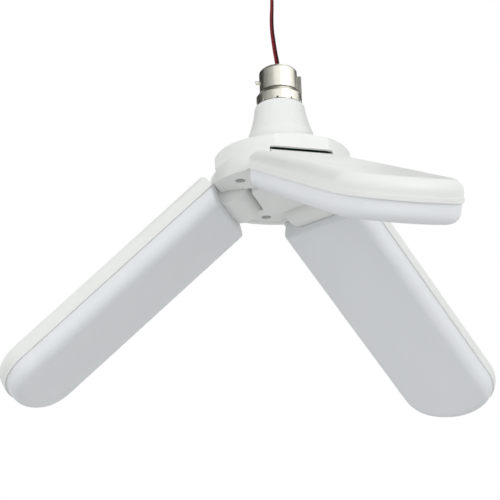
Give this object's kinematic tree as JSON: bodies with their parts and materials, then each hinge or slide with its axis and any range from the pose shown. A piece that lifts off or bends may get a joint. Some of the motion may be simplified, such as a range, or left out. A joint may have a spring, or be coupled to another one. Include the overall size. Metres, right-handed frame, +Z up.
{
  "type": "folding three-blade pendant lamp",
  "caption": "Pendant LED lamp with a bayonet cap, a bell-shaped hub and flat lighting blades that fold down about the hub on friction hinges.",
  "frame": {"origin": "where the axis through the two bayonet pins crosses the cap's own axis", "axes": "+Z up along the cap's axis towards its contacts and the supply lead; X along the bayonet pins; the picture looks along +Y and up"},
  "size_m": [0.2816, 0.3048, 0.247],
  "materials": {
    "nickel_cap": "satin bright metal",
    "cap_glass": "gloss black",
    "contact_metal": "tinned",
    "solder": "soft sheen",
    "lead_sleeve": "satin sleeve, one strand red and one black",
    "grip_plastic": "gloss white",
    "white_shell": "satin white",
    "opal_diffuser": "opal satin",
    "screw_steel": "zinc plated",
    "black_screw": "black oxide",
    "hinge_steel": "ground",
    "washer_black": "matt",
    "circuit_board": "solder mask",
    "led_board_metal": "white solder mask",
    "led_package": "phosphor gel",
    "capacitor_sleeve": "shrink sleeve",
    "choke_winding": "enamelled copper",
    "chip_black": "moulded",
    "wire_sleeve": "satin sleeve"
  },
  "bodies": {
    "hub": {"cap_shell": "nickel_cap", "cap_insulator": "cap_glass", "bayonet_pin_left": "nickel_cap", "bayonet_pin_right": "nickel_cap", "contact_front": "contact_metal", "contact_rear": "contact_metal", "solder_front": "solder", "solder_rear": "solder", "supply_lead": "lead_sleeve", "ceiling_grip": "grip_plastic", "upper_housing": "white_shell", "bottom_cover": "white_shell", "housing_screws": "black_screw", "driver_board": "circuit_board", "driver_board_screws": "screw_steel", "smoothing_capacitor": "capacitor_sleeve", "choke": "choke_winding", "bridge_rectifier": "chip_black", "cap_wires": "wire_sleeve", "blade_1_hinge_pin": "hinge_steel", "blade_1_friction_washers": "washer_black", "blade_2_hinge_pin": "hinge_steel", "blade_2_friction_washers": "washer_black", "blade_3_hinge_pin": "hinge_steel", "blade_3_friction_washers": "washer_black"},
    "blade_1": {"blade_1_back_shell": "white_shell", "blade_1_diffuser": "opal_diffuser", "blade_1_led_board": "led_board_metal", "blade_1_leds": "led_package", "blade_1_board_screws": "screw_steel", "blade_1_leads": "wire_sleeve"},
    "blade_2": {"blade_2_back_shell": "white_shell", "blade_2_diffuser": "opal_diffuser", "blade_2_led_board": "led_board_metal", "blade_2_leds": "led_package", "blade_2_board_screws": "screw_steel", "blade_2_leads": "wire_sleeve"},
    "blade_3": {"blade_3_back_shell": "white_shell", "blade_3_diffuser": "opal_diffuser", "blade_3_led_board": "led_board_metal", "blade_3_leds": "led_package", "blade_3_board_screws": "screw_steel", "blade_3_leads": "wire_sleeve"}
  },
  "joints": [
    {"name": "blade_1_fold", "type": "hinge", "parent": "hub", "child": "blade_1", "pos_m": [0.00904, -0.02734, -0.065], "axis": [0.9494, 0.314, 0], "range_deg": [-26.4, 63.6]},
    {"name": "blade_2_fold", "type": "hinge", "parent": "hub", "child": "blade_2", "pos_m": [0.01916, 0.0215, -0.065], "axis": [-0.7466, 0.6652, 0], "range_deg": [-38.6, 51.4]},
    {"name": "blade_3_fold", "type": "hinge", "parent": "hub", "child": "blade_3", "pos_m": [-0.0282, 0.00584, -0.065], "axis": [-0.2028, -0.9792, 0], "range_deg": [-38.2, 51.8]}
  ]
}
